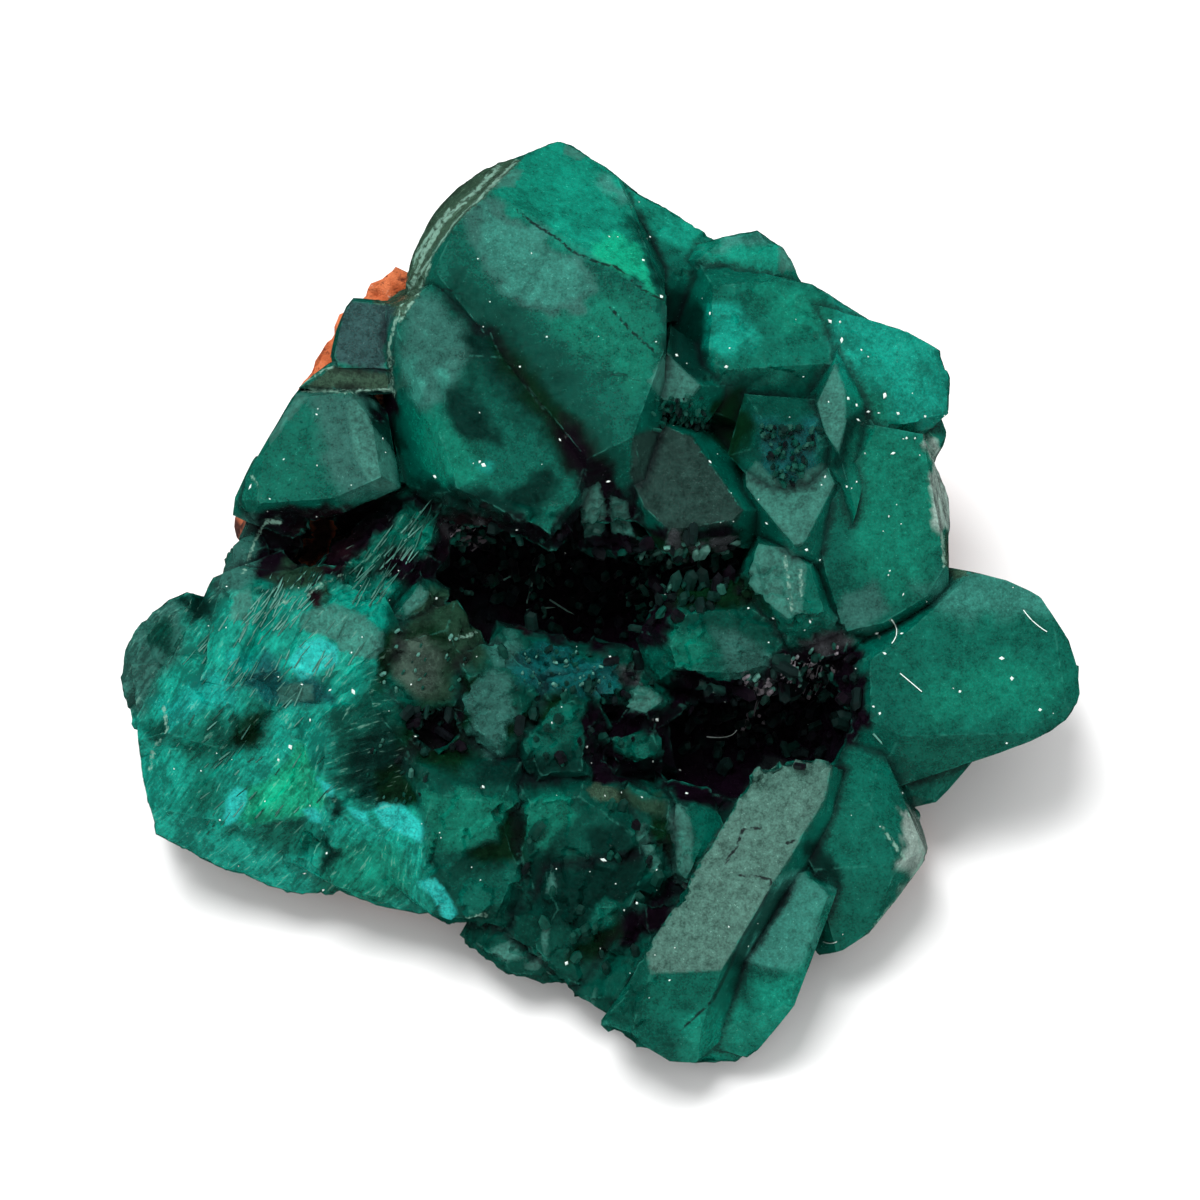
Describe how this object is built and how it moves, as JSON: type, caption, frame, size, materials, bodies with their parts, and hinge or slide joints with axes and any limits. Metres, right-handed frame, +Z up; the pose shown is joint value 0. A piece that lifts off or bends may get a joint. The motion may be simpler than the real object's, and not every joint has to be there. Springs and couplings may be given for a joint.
{
  "type": "dioptase crystal specimen",
  "caption": "Cluster of deep green translucent crystals intergrown round a dark open vug, on a rough reddish rock matrix that rests on a flat underside.",
  "frame": {"origin": "on the flat underside of the rock, at the floor, a little in front of its middle", "axes": "+Z up from the rest face, +X to the right and +Y to the back as the crystals are seen from the front"},
  "size_m": [0.0296, 0.028, 0.0136],
  "materials": {
    "crystal": "vitreous crystal faces, partly hazed, striated and chipped",
    "rock": "rough weathered rock, dull"
  },
  "bodies": {
    "root": {"crystal_cluster": "crystal", "matrix": "rock"}
  },
  "joints": []
}
